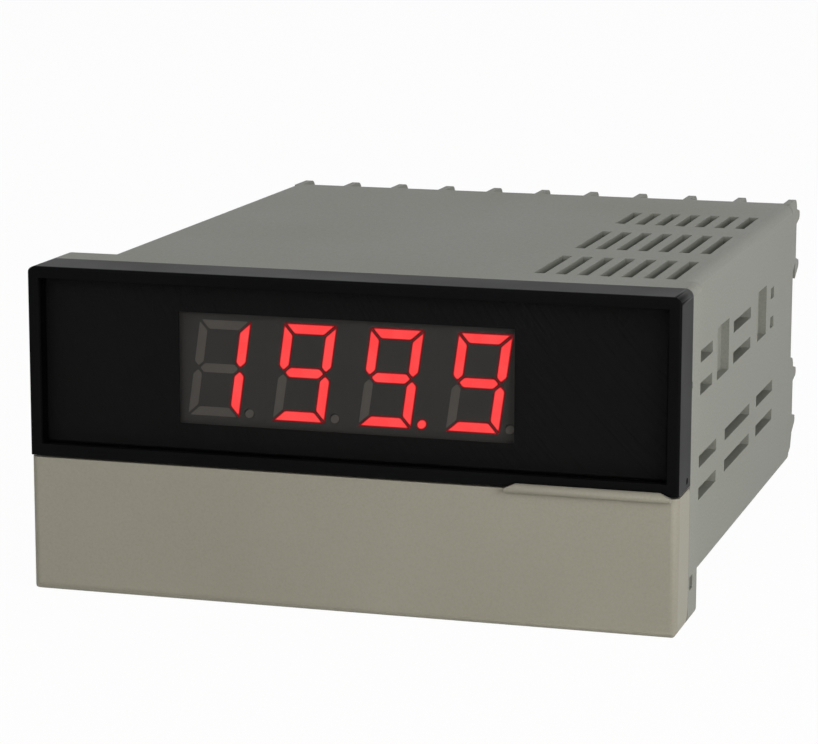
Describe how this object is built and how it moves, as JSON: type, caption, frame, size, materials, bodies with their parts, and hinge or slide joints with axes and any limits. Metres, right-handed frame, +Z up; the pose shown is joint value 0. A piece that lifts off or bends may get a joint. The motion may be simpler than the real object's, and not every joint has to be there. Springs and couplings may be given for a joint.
{
  "type": "digital panel meter",
  "caption": "Panel-mounted digital meter in a long vented case, with a seven-segment display, a flip-down cover over setting keys and rear screw terminals.",
  "frame": {"origin": "under the middle of the meter's whole box, level with the front's lower edge", "axes": "+Y from the front towards the terminals, +X to the right as seen from the front, +Z up"},
  "size_m": [0.096, 0.1216, 0.048],
  "materials": {
    "housing_plastic": "fine-grained warm grey moulding",
    "frame_plastic": "smooth near-black moulding",
    "smoked_window": "clear smoked acrylic",
    "mask_print": "matt black print",
    "cover_plastic": "fine-grained beige moulding",
    "key_plastic": "satin dark grey",
    "plunger_plastic": "satin red",
    "black_plastic": "satin black",
    "board_laminate": "green lacquer on glass-fibre laminate",
    "digit_plastic": "dark grey face paint",
    "lit_resin": "glowing red resin",
    "unlit_resin": "milky resin seen through the window",
    "tinned_metal": "tin plated",
    "plated_steel": "zinc-nickel plated",
    "core_steel": "varnished steel laminations",
    "bobbin_plastic": "satin dark blue",
    "winding_tape": "yellow insulating tape",
    "capacitor_sleeve": "shrunk dark sleeve",
    "sink_aluminium": "plain extruded aluminium"
  },
  "bodies": {
    "case": {"housing": "housing_plastic", "front_frame": "frame_plastic", "display_window": "smoked_window", "window_mask": "mask_print", "key_switches": "black_plastic", "display_board": "board_laminate", "board_screws": "plated_steel", "led_digit_1": "digit_plastic", "led_digit_2": "digit_plastic", "led_digit_3": "digit_plastic", "led_digit_4": "digit_plastic", "lit_segments": "lit_resin", "unlit_segments": "unlit_resin", "digit_pins": "tinned_metal", "processor_chip": "black_plastic", "lower_board": "board_laminate", "upper_board": "board_laminate", "link_headers": "black_plastic", "link_pins": "tinned_metal", "transformer_core": "core_steel", "transformer_bobbin": "bobbin_plastic", "transformer_winding": "winding_tape", "filter_capacitors": "capacitor_sleeve", "regulator": "black_plastic", "heat_sink": "sink_aluminium", "converter_chips": "black_plastic", "converter_legs": "tinned_metal", "terminal_base": "housing_plastic", "contacts_upper": "tinned_metal", "contacts_lower": "tinned_metal", "clamp_washers_upper": "plated_steel", "clamp_washers_lower": "plated_steel", "terminal_screws_upper": "plated_steel", "terminal_screws_lower": "plated_steel"},
    "cover": {"setting_cover": "cover_plastic"},
    "key_mode_cap": {"key_mode": "key_plastic", "plunger_mode": "plunger_plastic"},
    "key_shift_cap": {"key_shift": "key_plastic", "plunger_shift": "plunger_plastic"},
    "key_down_cap": {"key_down": "key_plastic", "plunger_down": "plunger_plastic"},
    "key_up_cap": {"key_up": "key_plastic", "plunger_up": "plunger_plastic"}
  },
  "joints": [
    {"name": "cover_hinge", "type": "hinge", "parent": "case", "child": "cover", "pos_m": [0, -0.0551, 0.0032], "axis": [1, 0, 0], "range_deg": [0, 90]},
    {"name": "press_mode", "type": "slide", "parent": "case", "child": "key_mode_cap", "axis": [0, 1, 0], "range_m": [0, 0.0004], "stiffness_N_per_m": 3000},
    {"name": "press_shift", "type": "slide", "parent": "case", "child": "key_shift_cap", "axis": [0, 1, 0], "range_m": [0, 0.0004], "stiffness_N_per_m": 3000},
    {"name": "press_down", "type": "slide", "parent": "case", "child": "key_down_cap", "axis": [0, 1, 0], "range_m": [0, 0.0004], "stiffness_N_per_m": 3000},
    {"name": "press_up", "type": "slide", "parent": "case", "child": "key_up_cap", "axis": [0, 1, 0], "range_m": [0, 0.0004], "stiffness_N_per_m": 3000}
  ]
}
